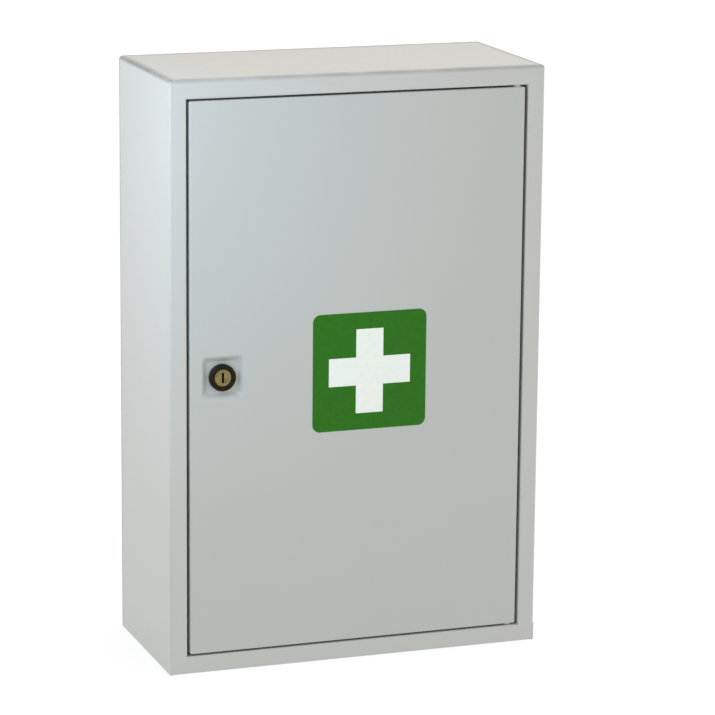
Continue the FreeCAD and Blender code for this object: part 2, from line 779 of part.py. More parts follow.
def make_door_buffers():
    """Rubber discs on the door stop: two on the lock side, one above and one below."""
    side_line = open_left + size.stop_width / 2
    end_line = open_left + (open_right - open_left) * END_BUFFER_SHARE
    opening_height = open_top - open_bottom
    places = [(side_line, open_bottom + opening_height * share) for share in SIDE_BUFFER_SHARES]
    places.append((end_line, open_bottom + size.stop_width / 2))
    places.append((end_line, open_top - size.stop_width / 2))
    discs = []
    for across, up in places:
        buffer = doc.addObject("Part::Cylinder", "door_buffer")
        bind(buffer, "Radius", size.buffer_radius)
        bind(buffer, "Height", size.buffer_height)
        buffer.Placement.Rotation = FreeCAD.Rotation(FreeCAD.Vector(1, 0, 0), -90)
        for axis, place in zip("xyz", (across, stop_front - size.buffer_height, up)):
            bind(buffer, f"Placement.Base.{axis}", place)
        discs.append(buffer)
    return group("door_buffers", discs)


def draw_cross(sketch, centre):
    """An upright cross with arms of equal length."""
    across, up = centre
    reach = size.sign_arm_reach
    half = size.sign_arm_width / 2
    draw_outline(sketch, [
        (across + half, up + half), (across + half, up + reach), (across - half, up + reach),
        (across - half, up + half), (across - reach, up + half), (across - reach, up - half),
        (across - half, up - half), (across - half, up - reach), (across + half, up - reach),
        (across + half, up - half), (across + reach, up - half), (across + reach, up + half)])


def make_sign():
    """Vinyl first aid sign: a green square with rounded corners, and a white cross let into it."""
    centre = (door_middle + size.sign_offset, (door_bottom + door_top) / 2)
    level = front - size.vinyl
    field = new_body("sign_field")
    square = new_sketch(field, "XZ_Plane", level)
    draw_square(square, centre, size.sign_size)
    pad(square, size.vinyl)
    round_edges(field, size.sign_corner, lambda box: runs_along(box, "y"))
    window = new_sketch(field, "XZ_Plane", level)
    draw_cross(window, centre)
    pocket(window, size.vinyl)
    cross = new_body("sign_cross")
    arms = new_sketch(cross, "XZ_Plane", level)
    draw_cross(arms, centre)
    pad(arms, size.vinyl)
    return [field, cross]


def make_pieces():
    pieces = [make_body_wrap(), make_bottom_panel(), make_back_panel()]
    for story in SHELF_HEIGHT_SHARES:
        pieces.append(make_shelf(story))
        pieces.append(make_cleat(story, "left", -1))
        pieces.append(make_cleat(story, "right", 1))
    pieces.append(make_shelf_screws())
    pieces.append(make_pivot_pin("upper_pivot_pin", open_top, -1))
    pieces.append(make_pivot_pin("lower_pivot_pin", open_bottom, 1))
    pieces.append(make_bush("upper_bush", door_top - size.bush_depth, door_top))
    pieces.append(make_bush("lower_bush", door_bottom - size.bush_flange, door_bottom - size.bush_flange))
    pieces.append(make_hinge_plate("upper_hinge_plate", door_top - size.sheet - size.hinge_plate))
    pieces.append(make_hinge_plate("lower_hinge_plate", door_bottom + size.sheet))
    pieces += [make_door_buffers(), make_door_skin(), make_door_stiffener()]
    pieces += [make_lock_housing(), make_lock_washer(), make_lock_nut()]
    pieces += [make_lock_plug(), make_lock_cam(), make_cam_washer(), make_cam_screw()]
    return pieces + make_sign()


def write_pieces(pieces):
    """Checks every object and every piece's shape, and then writes each piece to its own file."""
    doc.recompute()
    for thing in doc.Objects:
        if {"Invalid", "Error"} & set(thing.State):
            raise RuntimeError(f"{thing.Name} did not build: {thing.State}")
    for piece in pieces:
        if piece.Shape.isNull() or not piece.Shape.isValid() or not piece.Shape.Solids:
            raise RuntimeError(f"{piece.Label} has no valid solid")
    os.makedirs("parts", exist_ok=True)
    for piece in pieces:
        piece.Shape.exportStep(f"parts/{piece.Label}.step")
        print(piece.Label, len(piece.Shape.Solids), round(piece.Shape.Volume, 1))


write_pieces(make_pieces())
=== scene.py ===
import json
import math

import bmesh
import bpy
from mathutils import Matrix, Vector


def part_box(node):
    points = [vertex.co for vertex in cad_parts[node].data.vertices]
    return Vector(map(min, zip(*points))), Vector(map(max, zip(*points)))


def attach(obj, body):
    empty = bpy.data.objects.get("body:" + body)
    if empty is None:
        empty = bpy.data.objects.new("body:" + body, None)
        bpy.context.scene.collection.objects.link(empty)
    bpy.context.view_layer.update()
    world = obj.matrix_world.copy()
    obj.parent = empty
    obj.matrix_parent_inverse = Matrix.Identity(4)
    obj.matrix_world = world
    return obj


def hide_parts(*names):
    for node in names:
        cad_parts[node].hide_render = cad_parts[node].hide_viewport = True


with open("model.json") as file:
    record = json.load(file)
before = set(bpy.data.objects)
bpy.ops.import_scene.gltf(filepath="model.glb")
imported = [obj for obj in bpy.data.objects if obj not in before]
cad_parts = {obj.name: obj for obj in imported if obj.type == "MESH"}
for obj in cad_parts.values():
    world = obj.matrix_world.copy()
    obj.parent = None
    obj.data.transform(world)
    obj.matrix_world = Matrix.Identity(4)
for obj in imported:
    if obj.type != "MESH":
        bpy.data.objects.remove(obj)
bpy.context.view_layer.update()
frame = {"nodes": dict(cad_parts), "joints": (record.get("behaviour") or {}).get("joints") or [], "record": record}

# Points within NEAR of a place count as lying there, and points within MERGE of each other become one.
# Edges that turn by less than SMOOTH_ANGLE, in degrees, are shaded smooth.
NEAR = 1e-5
MERGE = 3e-6
SMOOTH_ANGLE = 35
AXES = {"x": Vector((1, 0, 0)), "y": Vector((0, 1, 0)), "z": Vector((0, 0, 1))}

# Case: sheet, outside radii of the bends, and the gaps round the door.
# Cutters reach past the sheet by PAST.
SHEET = 0.0008
PAST = SHEET
CORNER_RADIUS = 0.0024
FRAME_RADIUS = 0.0020
REAR_RADIUS = 0.0014
RIM_RADIUS = 0.0016
STOP_RADIUS = 0.0008
REAR_FLANGE = 0.012
LOCK_SIDE_GAP = 0.0021
HINGE_SIDE_GAP = 0.0024
DOOR_GAP = 0.0014
BEND_SEGMENTS = 6

# Door pan with its dished square.
DOOR_CORNER_RADIUS = 0.0016
DOOR_RADIUS = 0.0013
DOOR_REAR_RADIUS = 0.0008
DOOR_RETURN = 0.0108
RECESS_SIZE = 0.0334
RECESS_FLOOR = 0.0254
RECESS_CORNER = 0.0030
RECESS_RIM = 0.0011
RECESS_FOOT = 0.0009

# Shelves and the hat channel behind the door.
SHELF_RADIUS = 0.0016
HAT_RADIUS = 0.0012
HAT_FLANGE = 0.010

# Pivot pins, lock housing and lock plug.
PIN_HOLE_RADIUS = 0.0018
BUSH_HOLE_RADIUS = 0.00265
BARREL_RADIUS = 0.0085
THREAD_DEPTH = 0.0004
THREAD_PITCH = 0.0010
LOCK_HEAD_ROUND = 0.0016
PLUG_ROUND = 0.0004
PLUG_SINK = 0.0012
BORE_ROUND = 0.0005
PLUG_RUN_OUT = 0.0001
PLUG_HEAD = 0.0020
PLUG_SHANK_RADIUS = 0.0055
SHANK_FIT = 0.00005
KEYWAY = Vector((0.0018, 0.012, 0.0080))
KEYWAY_ROUND = 0.00018
KEYWAY_SEGMENTS = 3
TANG = 0.0070
LOCK_SEGMENTS = 4
ROUND_STEPS = 96

# Faint clouds in the paint, and painted shade that darkens the paint along the top bends of the case.
CLOUD_TONE = 0.985
PAINTED_SHADE_ON_TOP = 0.0075
PAINTED_SHADE_ON_SIDES = 0.0034
PAINTED_SHADE_BEND_SHARE = 0.35
PAINTED_SHADE_FRONT_SHARE = 0.6
PAINTED_SHADE_TONE = 0.46

# Surroundings that light the cabinet, as seen towards its left and its right, and the white table under it.
SURROUND_LEFT = (0.739, 0.703, 0.635)
SURROUND_RIGHT = (1.733, 1.717, 1.715)
TABLE_SIZE = 40
TABLE_GLOW = 0.74

# Camera fitted to the photograph: angles in degrees, lens and sensor width in millimetres.
CAMERA_YAW = 19.635
CAMERA_PITCH = 13.003
CAMERA_ROLL = 0.541
CAMERA_LENS = 173.74
CAMERA_SENSOR = 36
CAMERA_DISTANCE = 2.7047
CAMERA_TARGET = Vector((0.0, 0.0, 0.23))
CAMERA_SLIDE = (0.02240, -0.00454)

# Where the frame puts things.
wrap_low, wrap_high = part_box("body_wrap")
pan_low, pan_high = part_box("bottom_panel")
door_low, door_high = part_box("door_skin")
housing_low, housing_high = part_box("lock_housing")
plug_low, plug_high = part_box("lock_plug")
washer_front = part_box("lock_washer")[0].y
front = wrap_low.y
rear = wrap_high.y
open_left = door_low.x - LOCK_SIDE_GAP
open_right = door_high.x + HINGE_SIDE_GAP
open_bottom = door_low.z - DOOR_GAP
open_top = door_high.z + DOOR_GAP
stop_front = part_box("door_buffers")[1].y
stop_width = pan_high.z - open_bottom
wall_inside = wrap_high.x - SHEET
recess_front = washer_front - SHEET
lock_x = (housing_low.x + housing_high.x) / 2
lock_z = (housing_low.z + housing_high.z) / 2
lock_axis = (lock_x, 0, lock_z)
lock_head_radius = (housing_high.x - housing_low.x) / 2
plug_head_radius = (plug_high.x - plug_low.x) / 2
cam_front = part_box("lock_cam")[0].y
hinge_axis = Vector(next(joint for joint in frame["joints"] if joint["name"] == "door_hinge")["pos_m"])


def on(**places):
    """A test of whether all points lie at the places given by axis."""
    def test(*points):
        return all(abs(getattr(point, axis) - place) < NEAR
                   for point in points for axis, place in places.items())
    return test


def within(**spans):
    """A test of whether all points lie within the spans given by axis."""
    def test(*points):
        return all(low - NEAR < getattr(point, axis) < high + NEAR
                   for point in points for axis, (low, high) in spans.items())
    return test


def round_lock(radius):
    """A test of whether all points lie at a radius about the lock's axis."""
    return lambda *points: all(
        abs(math.hypot(point.x - lock_x, point.z - lock_z) - radius) < NEAR for point in points)


def either(*tests):
    """A test that holds where any of the tests does."""
    return lambda *points: any(test(*points) for test in tests)


def both(*tests):
    """A test that holds where all of the tests do."""
    return lambda *points: all(test(*points) for test in tests)


def neither(*tests):
    """A test that holds where none of the tests does."""
    return lambda *points: not any(test(*points) for test in tests)


def edit_primitive(name):
    """Names the primitive that was just added, puts its place into its mesh, and opens it for editing."""
    piece = bpy.context.object
    piece.name = name
    piece.data.name = name
    bpy.ops.object.transform_apply(location=True, rotation=True, scale=True)
    bpy.ops.object.mode_set(mode="EDIT")
    return piece


def add_block(name, low, high):
    """A block between two corners."""
    bpy.ops.object.select_all(action="DESELECT")
    low, high = Vector(low), Vector(high)
    bpy.ops.mesh.primitive_cube_add(size=1, location=(low + high) / 2, scale=high - low)
    return edit_primitive(name)


def add_sheet(name, low, high):
    """A flat sheet at the height of its low corner, facing up."""
    bpy.ops.object.select_all(action="DESELECT")
    middle = (low + high) / 2
    bpy.ops.mesh.primitive_plane_add(size=1, location=(middle.x, middle.y, low.z))
    bpy.context.object.scale = (high.x - low.x, high.y - low.y, 1)
    return edit_primitive(name)


def add_rod(name, radius, start, end, centre, axis="y"):
    """A round rod along one axis, from start to end, about a centre line through the point given."""
    bpy.ops.object.select_all(action="DESELECT")
    place = Vector(centre)
    setattr(place, axis, (start + end) / 2)
    turn = (math.pi / 2, 0, 0) if axis == "y" else (0, 0, 0)
    bpy.ops.mesh.primitive_cylinder_add(
        vertices=ROUND_STEPS, radius=radius, depth=end - start, location=place, rotation=turn)
    return edit_primitive(name)


def pick(piece, kind, wanted):
    """Selects the faces or edges of the open piece whose corners are wanted, and nothing else."""
    bpy.ops.mesh.select_mode(type="FACE" if kind == "faces" else "EDGE")
    bpy.ops.mesh.select_all(action="DESELECT")
    mesh = bmesh.from_edit_mesh(piece.data)
    for item in getattr(mesh, kind):
        if wanted(*[corner.co for corner in item.verts]):
            item.select_set(True)
    bmesh.update_edit_mesh(piece.data)


def split_faces(piece, wanted, **places):
    """Cuts the wanted faces along a plane at each place, given as a list by axis."""
    for axis, cuts in places.items():
        for cut in cuts:
            pick(piece, "faces", wanted)
            bpy.ops.mesh.bisect(plane_co=AXES[axis] * cut, plane_no=AXES[axis])


def remove_faces(piece, wanted):
    """Deletes the wanted faces of the open piece."""
    pick(piece, "faces", wanted)
    bpy.ops.mesh.delete(type="FACE")


def round_edges(piece, wanted, radius, segments=BEND_SEGMENTS):
    """Rounds the wanted edges of the open piece."""
    pick(piece, "edges", wanted)
    bpy.ops.mesh.bevel(offset=radius, segments=segments, affect="EDGES", clamp_overlap=False)


def fold(piece, wanted, move):
    """Draws a new strip of sheet out of the wanted edges."""
    pick(piece, "edges", wanted)
    bpy.ops.mesh.extrude_region_move(TRANSFORM_OT_translate={"value": Vector(move)})


def face_outwards(piece, wanted, outside):
    """Turns all faces of the open sheet one way, so that the wanted ones look outside."""
    bpy.ops.mesh.select_all(action="SELECT")
    bpy.ops.mesh.normals_make_consistent(inside=False)
    mesh = bmesh.from_edit_mesh(piece.data)
    shown = next(face for face in mesh.faces if wanted(*[corner.co for corner in face.verts]))
    if shown.normal.dot(Vector(outside)) < 0:
        bpy.ops.mesh.select_all(action="SELECT")
        bpy.ops.mesh.flip_normals()


def close_edit(piece):
    """Leaves edit mode, with the piece selected and active."""
    if bpy.context.object.mode == "EDIT":
        bpy.ops.object.mode_set(mode="OBJECT")
    bpy.ops.object.select_all(action="DESELECT")
    piece.select_set(True)
    bpy.context.view_layer.objects.active = piece


def apply_modifier(piece, kind, **settings):
    """Adds a modifier to the piece and applies it."""
    close_edit(piece)
    modifier = piece.modifiers.new(kind.lower(), kind)
    for name, value in settings.items():
        setattr(modifier, name, value)
    bpy.ops.object.modifier_apply(modifier=modifier.name)


def give_thickness(piece):
    """Makes the sheet solid, with its thickness behind the faces that show."""
    apply_modifier(piece, "SOLIDIFY", thickness=SHEET, offset=-1, use_even_offset=True,
                   use_quality_normals=True)


def join_solid(piece, other, operation="DIFFERENCE"):
    """Takes the other solid away from the piece, or adds it, and removes the other."""
    close_edit(other)
    apply_modifier(piece, "BOOLEAN", operation=operation, solver="EXACT", object=other)
    bpy.data.objects.remove(other)


def cut_block(piece, low, high):
    """Cuts a block out of the piece."""
    close_edit(piece)
    join_solid(piece, add_block("cutter", low, high))


def fill_block(piece, low, high):
    """Adds a block to the piece."""
    close_edit(piece)
    join_solid(piece, add_block("filler", low, high), "UNION")


def cut_round(piece, radius, start, end, centre, axis):
    """Bores a round hole through the piece."""
    close_edit(piece)
    join_solid(piece, add_rod("cutter", radius, start, end, centre, axis))


def merge_points(piece):
    """Merges the points that cuts and tight bends left on top of each other."""
    close_edit(piece)
    bpy.ops.object.mode_set(mode="EDIT")
    bpy.ops.mesh.select_all(action="SELECT")
    bpy.ops.mesh.remove_doubles(threshold=MERGE)
    bpy.ops.mesh.dissolve_degenerate(threshold=MERGE)


def smooth(piece):
    """Shades bends smoothly and keeps the flats flat."""
    close_edit(piece)
    bpy.ops.object.shade_smooth_by_angle(angle=math.radians(SMOOTH_ANGLE))
    apply_modifier(piece, "WEIGHTED_NORMAL", keep_sharp=True)


def settle(piece, body, node, finish):
    """Hangs a finished piece on its body in place of a CAD node, in the finish of that node."""
    merge_points(piece)
    smooth(piece)
    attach(piece, body)
    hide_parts(node)
    piece.data.materials.clear()
    piece.data.materials.append(finishes[finish])


def model_case_wrap():
    """Left side, top and right side in one folded sheet, with the frame, lip and stop round the door."""
    wrap = add_block("case_wrap", wrap_low, wrap_high)
    left, right, top = wrap_low.x, wrap_high.x, wrap_high.z
    remove_faces(wrap, on(z=wrap_low.z))
    round_edges(wrap, either(on(x=left, z=top), on(x=right, z=top)), CORNER_RADIUS)
    above_floor = neither(on(z=wrap_low.z))
    round_edges(wrap, both(on(y=front), above_floor), FRAME_RADIUS)
    round_edges(wrap, both(on(y=rear), above_floor), REAR_RADIUS)

    split_faces(wrap, on(y=front), x=(open_left, open_right), z=(open_bottom, open_top))
    remove_faces(wrap, both(on(y=front), either(
        within(z=(wrap_low.z, open_bottom)),
        within(x=(open_left, open_right), z=(open_bottom, open_top)))))
    flange_left, flange_right = left + REAR_FLANGE, right - REAR_FLANGE
    flange_top = top - REAR_FLANGE
    split_faces(wrap, on(y=rear), x=(flange_left, flange_right), z=(REAR_FLANGE, flange_top))
    remove_faces(wrap, both(on(y=rear), either(
        within(z=(wrap_low.z, REAR_FLANGE)),
        within(x=(flange_left, flange_right), z=(REAR_FLANGE, flange_top)))))

    rim = either(on(x=open_left), on(x=open_right), on(z=open_top))
    in_opening = within(x=(open_left, open_right), z=(open_bottom, open_top))
    fold(wrap, both(on(y=front), rim, in_opening), (0, stop_front - front, 0))
    fold(wrap, both(on(y=stop_front), rim), (0, 0, 0))
    open_middle = (open_left + open_right) / 2
    across_share = 1 - stop_width * 2 / (open_right - open_left)
    up_share = 1 - stop_width / (open_top - open_bottom)
    bpy.ops.transform.resize(
        value=(across_share, 1, up_share), center_override=(open_middle, stop_front, open_bottom))
    round_edges(wrap, both(on(y=front), rim, in_opening), RIM_RADIUS)
    round_edges(wrap, both(on(y=stop_front), rim, in_opening), STOP_RADIUS)
    face_outwards(wrap, on(x=left), (-1, 0, 0))
    give_thickness(wrap)

    cut_block(wrap, (left - PAST, front - PAST, wrap_low.z - PAST),
              (right + PAST, front + SHEET, open_bottom))
    cut_round(wrap, PIN_HOLE_RADIUS, open_top - PAST, open_top + SHEET + PAST, hinge_axis, "z")
    settle(wrap, "case", "body_wrap", "case_paint")


def side_span(side, near, far):
    """The low and high place of a span on the left (-1) or right (1) of the middle."""
    return sorted((near * side, far * side))


def model_floor_pan():
    """Floor with its full-width front flange, lip, stop and rear flange folded up."""
    pan = add_sheet("floor_pan", pan_low, pan_high)
    floor = pan_low.z
    fold(pan, on(y=front, z=floor), (0, 0, open_bottom - floor))
    fold(pan, on(y=front, z=open_bottom), (0, stop_front - front, 0))
    fold(pan, on(y=stop_front, z=open_bottom), (0, 0, stop_width))
    fold(pan, on(y=rear, z=floor), (0, 0, REAR_FLANGE))
    round_edges(pan, on(y=front, z=floor), FRAME_RADIUS)
    round_edges(pan, on(y=front, z=open_bottom), RIM_RADIUS)
    round_edges(pan, on(y=stop_front, z=open_bottom), STOP_RADIUS)
    round_edges(pan, on(y=rear, z=floor), REAR_RADIUS)
    face_outwards(pan, on(z=floor), (0, 0, -1))
    give_thickness(pan)

    relief = wall_inside - FRAME_RADIUS + SHEET
    for side, open_side in ((-1, -open_left), (1, open_right)):
        low_x, high_x = side_span(side, wall_inside, pan_high.x + PAST)
        cut_block(pan, (low_x, front + SHEET, floor - PAST), (high_x, rear + PAST, pan_high.z + PAST))
        low_x, high_x = side_span(side, relief, pan_high.x + PAST)
        cut_block(pan, (low_x, front + SHEET, floor - PAST),
                  (high_x, front + FRAME_RADIUS, pan_high.z + PAST))
        low_x, high_x = side_span(side, open_side - stop_width, pan_high.x + PAST)
        cut_block(pan, (low_x, stop_front - PAST, open_bottom),
                  (high_x, stop_front + SHEET + PAST, pan_high.z + PAST))
        low_x, high_x = side_span(side, open_side, pan_high.x)
        fill_block(pan, (low_x, front, open_bottom - RIM_RADIUS), (high_x, front + SHEET, open_bottom))
    cut_round(pan, PIN_HOLE_RADIUS, open_bottom - SHEET - PAST, open_bottom + PAST, hinge_axis, "z")
    settle(pan, "case", "bottom_panel", "case_paint")


def model_door_panel():
    """Door pan with folded edges, inner returns and the dished square for the lock."""
    door = add_block("door_panel", door_low, door_high)
    sides = (door_low.x, door_high.x)
    ends = (door_low.z, door_high.z)
    corners = either(*[on(x=side, z=end) for side in sides for end in ends])
    round_edges(door, corners, DOOR_CORNER_RADIUS)
    round_edges(door, on(y=door_high.y), DOOR_REAR_RADIUS)
    round_edges(door, on(y=front), DOOR_RADIUS)

    inner_x = (door_low.x + DOOR_RETURN, door_high.x - DOOR_RETURN)
    inner_z = (door_low.z + DOOR_RETURN, door_high.z - DOOR_RETURN)
    split_faces(door, on(y=door_high.y), x=inner_x, z=inner_z)
    remove_faces(door, both(on(y=door_high.y), within(x=inner_x, z=inner_z)))

    recess_x = (lock_x - RECESS_SIZE / 2, lock_x + RECESS_SIZE / 2)
    recess_z = (lock_z - RECESS_SIZE / 2, lock_z + RECESS_SIZE / 2)
    in_recess = within(x=recess_x, z=recess_z)
    split_faces(door, on(y=front), x=recess_x, z=recess_z)
    pick(door, "faces", both(on(y=front), in_recess))
    bpy.ops.mesh.inset(thickness=(RECESS_SIZE - RECESS_FLOOR) / 2, depth=front - recess_front)
    slanted = neither(on(y=front), on(y=recess_front))
    round_edges(door, both(in_recess, within(y=(front, recess_front)), slanted), RECESS_CORNER)
    round_edges(door, both(on(y=recess_front), in_recess), RECESS_FOOT)
    round_edges(door, both(on(y=front), in_recess), RECESS_RIM)
    give_thickness(door)

    cut_round(door, BARREL_RADIUS, recess_front - PAST, recess_front + SHEET + PAST, lock_axis, "y")
    cut_round(door, BUSH_HOLE_RADIUS, door_high.z - SHEET - PAST, door_high.z + PAST, hinge_axis, "z")
    cut_round(door, BUSH_HOLE_RADIUS, door_low.z - PAST, door_low.z + SHEET + PAST, hinge_axis, "z")
    settle(door, "door", "door_skin", "door_paint")


def model_shelf(story):
    """Shelf with its front and back edges folded down."""
    low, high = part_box(f"{story}_shelf")
    shelf = add_sheet(f"{story}_shelf_sheet", Vector((low.x, low.y, high.z)), high)
    for edge in (low.y, high.y):
        fold(shelf, on(y=edge, z=high.z), (0, 0, low.z - high.z))
    round_edges(shelf, either(on(y=low.y, z=high.z), on(y=high.y, z=high.z)), SHELF_RADIUS)
    face_outwards(shelf, on(z=high.z), (0, 0, 1))
    give_thickness(shelf)
    settle(shelf, "case", f"{story}_shelf", "case_paint")


def model_door_channel():
    """Hat channel behind the middle of the door."""
    low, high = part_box("door_stiffener")
    left, right = low.x + HAT_FLANGE, high.x - HAT_FLANGE
    flange_back = low.y + SHEET
    channel = add_block("door_channel", (left, flange_back, low.z), (right, high.y, high.z))
    remove_faces(channel, either(on(z=low.z), on(z=high.z), on(y=flange_back)))
    fold(channel, on(x=left, y=flange_back), (-HAT_FLANGE, 0, 0))
    fold(channel, on(x=right, y=flange_back), (HAT_FLANGE, 0, 0))
    crown = either(on(x=left, y=high.y), on(x=right, y=high.y))
    foot = either(on(x=left, y=flange_back), on(x=right, y=flange_back))
    round_edges(channel, crown, HAT_RADIUS)
    round_edges(channel, foot, STOP_RADIUS)
    face_outwards(channel, on(y=high.y), (0, 1, 0))
    give_thickness(channel)
    settle(channel, "door", "door_stiffener", "door_paint")


def inset_end(piece, wanted, width):
    """Draws a smaller outline inside a flat end, which stays selected."""
    pick(piece, "faces", wanted)
    bpy.ops.mesh.inset(thickness=width)


def push_end(depth):
    """Pushes the selected end along the lock's axis."""
    bpy.ops.mesh.extrude_region_move(TRANSFORM_OT_translate={"value": (0, depth, 0)})


def widen_end(share):
    """Scales the selected end about the lock's axis."""
    bpy.ops.transform.resize(value=(share, 1, share), center_override=lock_axis)


def model_lock_housing():
    """Dark lock head with a rounded shoulder, the bore for the plug, and the threaded barrel behind it."""
    head_front, barrel_end = housing_low.y, housing_high.y
    housing = add_rod("lock_barrel", lock_head_radius, head_front, recess_front, lock_axis)
    round_edges(housing, on(y=head_front), LOCK_HEAD_ROUND)
    head_bore = plug_head_radius + SHANK_FIT
    shank_bore = PLUG_SHANK_RADIUS + SHANK_FIT
    inset_end(housing, on(y=head_front), lock_head_radius - LOCK_HEAD_ROUND - head_bore)
    push_end(PLUG_SINK + PLUG_HEAD + PLUG_RUN_OUT)
    bpy.ops.mesh.inset(thickness=head_bore - shank_bore)
    push_end(barrel_end - head_front - PLUG_SINK - PLUG_HEAD - PLUG_RUN_OUT)
    bpy.ops.mesh.delete(type="FACE")
    round_edges(housing, both(on(y=head_front), round_lock(head_bore)), BORE_ROUND, LOCK_SEGMENTS)

    inset_end(housing, on(y=recess_front), lock_head_radius - BARREL_RADIUS)
    turns = int((barrel_end - recess_front - SHEET - THREAD_PITCH) / THREAD_PITCH)
    push_end(barrel_end - recess_front - turns * THREAD_PITCH)
    narrow = 1 - THREAD_DEPTH / BARREL_RADIUS
    for _ in range(turns):
        push_end(THREAD_PITCH / 2)
        widen_end(narrow)
        push_end(THREAD_PITCH / 2)
        widen_end(1 / narrow)
    bpy.ops.mesh.inset(thickness=BARREL_RADIUS - shank_bore)
    bpy.ops.mesh.delete(type="FACE")
    bpy.ops.mesh.select_all(action="SELECT")
    bpy.ops.mesh.remove_doubles(threshold=NEAR)
    bpy.ops.mesh.normals_make_consistent(inside=False)
    settle(housing, "door", "lock_housing", "lock_black")


def model_lock_core():
    """Brass plug with an upright keyway, and the square tang that carries the cam."""
    plug_front = plug_low.y
    plug = add_rod("lock_core_plug", plug_head_radius, plug_front, plug_front + PLUG_HEAD, lock_axis)
    inset_end(plug, on(y=plug_front + PLUG_HEAD), plug_head_radius - PLUG_SHANK_RADIUS)
    push_end(cam_front - plug_front - PLUG_HEAD)
    round_edges(plug, on(y=plug_front), PLUG_ROUND, LOCK_SEGMENTS)
    tang_half = TANG / 2
    fill_block(plug, (lock_x - tang_half, cam_front - tang_half, lock_z - tang_half),
               (lock_x + tang_half, plug_high.y, lock_z + tang_half))
    key_half = KEYWAY / 2
    key_x = (lock_x - key_half.x, lock_x + key_half.x)
    key_z = (lock_z - key_half.z, lock_z + key_half.z)
    cut_block(plug, (key_x[0], plug_front - key_half.y, key_z[0]),
              (key_x[1], plug_front + KEYWAY.y, key_z[1]))
    bpy.ops.object.mode_set(mode="EDIT")
    round_edges(plug, both(on(y=plug_front), within(x=key_x, z=key_z)), KEYWAY_ROUND, KEYWAY_SEGMENTS)
    settle(plug, "lock_core", "lock_plug", "plug_brass")


def colour_sockets(sockets):
    """Those of a mix node's sockets that carry colours."""
    return [socket for socket in sockets if socket.type == "RGBA"]


class Finish:
    """A material with its shader, and short calls for the textures that feed it."""

    def __init__(self, name, **sockets):
        self.material = bpy.data.materials.new(name)
        self.material.use_nodes = True
        self.tree = self.material.node_tree
        self.shader = self.tree.nodes["Principled BSDF"]
        for socket, value in sockets.items():
            self.shader.inputs[socket.replace("_", " ")].default_value = value
        self.place = self.tree.nodes.new("ShaderNodeTexCoord").outputs["Object"]

    def add(self, kind, **sockets):
        """A new node, with its sockets set to numbers or linked to outputs."""
        node = self.tree.nodes.new(f"ShaderNode{kind}")
        for socket, value in sockets.items():
            socket = node.inputs[socket.replace("_", " ")]
            if isinstance(value, bpy.types.NodeSocket):
                self.tree.links.new(value, socket)
            else:
                socket.default_value = value
        return node

    def feed(self, socket, output):
        """Links an output to one of the shader's sockets."""
        self.tree.links.new(output, self.shader.inputs[socket])

    def centred(self, centre, scale=(1, 1, 1)):
        """The place on the piece, measured from a centre."""
        moved = self.add("Mapping", Vector=self.place, Location=[-value for value in centre])
        return self.add("Mapping", Vector=moved.outputs[0], Scale=scale).outputs[0]

    def noise(self, scale, detail, place=None):
        """Soft noise from 0 to 1."""
        return self.add("TexNoise", Vector=place or self.place, Scale=scale, Detail=detail).outputs["Fac"]

    def spread(self, value, low, high, start=0.3, end=0.7):
        """A value's range from start to end, spread from low to high."""
        node = self.add("MapRange", Value=value)
        for index, number in enumerate((start, end, low, high), 1):
            node.inputs[index].default_value = number
        return node.outputs["Result"]

    def sum_up(self, operation, first, second):
        """One value worked out from two others."""
        node = self.tree.nodes.new("ShaderNodeMath")
        node.operation = operation
        for socket, value in zip(node.inputs, (first, second)):
            self.tree.links.new(value, socket)
        return node.outputs[0]

    def blend(self, factor, first, second):
        """A colour between two others, each given as numbers or as a texture's output."""
        node = self.add("Mix", Factor=factor)
        node.data_type = "RGBA"
        for socket, colour in zip(colour_sockets(node.inputs), (first, second)):
            if isinstance(colour, bpy.types.NodeSocket):
                self.tree.links.new(colour, socket)
            else:
                socket.default_value = (*colour, 1)
        return colour_sockets(node.outputs)[0]

    def cloud(self, first, second, scale, detail):
        """A colour that wanders between two others in soft patches."""
        return self.blend(self.spread(self.noise(scale, detail), low=0, high=1), first, second)

    def roughen(self, low, high, scale, detail):
        """Lets the gloss vary in soft patches."""
        self.feed("Roughness", self.spread(self.noise(scale, detail), low, high))

    def bump(self, height, strength, distance, under=None):
        """Relief from a height, over the relief under it."""
        node = self.add("Bump", Height=height, Strength=strength, Distance=distance)
        if under:
            self.tree.links.new(under, node.inputs["Normal"])
        return node.outputs["Normal"]


def top_bend_shade(finish):
    """How much painted shade darkens the paint: most on the top's side bends, less on its front, none past the
    strip.
    """
    sides = finish.tree.nodes.new("ShaderNodeVectorMath")
    sides.operation = "ABSOLUTE"
    finish.tree.links.new(finish.place, sides.inputs[0])
    place = finish.add("SeparateXYZ", Vector=sides.outputs[0])

    def nearness(axis, edge, width):
        """From -1 at the strip's inner end to 0 at the edge."""
        return finish.spread(place.outputs[axis], low=-1, high=0, start=edge - width, end=edge)

    def painted_shade_amount(across, up, most):
        """The painted shade on a bend, from none to the most, by how near its two edges are together."""
        together = finish.sum_up("ADD", across, up)
        return finish.spread(together, low=0, high=most, start=-1, end=-PAINTED_SHADE_BEND_SHARE)

    height = nearness("Z", wrap_high.z, PAINTED_SHADE_ON_SIDES)
    on_sides = painted_shade_amount(nearness("X", wrap_high.x, PAINTED_SHADE_ON_TOP), height, most=1)
    on_front = painted_shade_amount(nearness("Y", rear, PAINTED_SHADE_ON_TOP), height, most=PAINTED_SHADE_FRONT_SHARE)
    return finish.sum_up("MAXIMUM", on_sides, on_front)


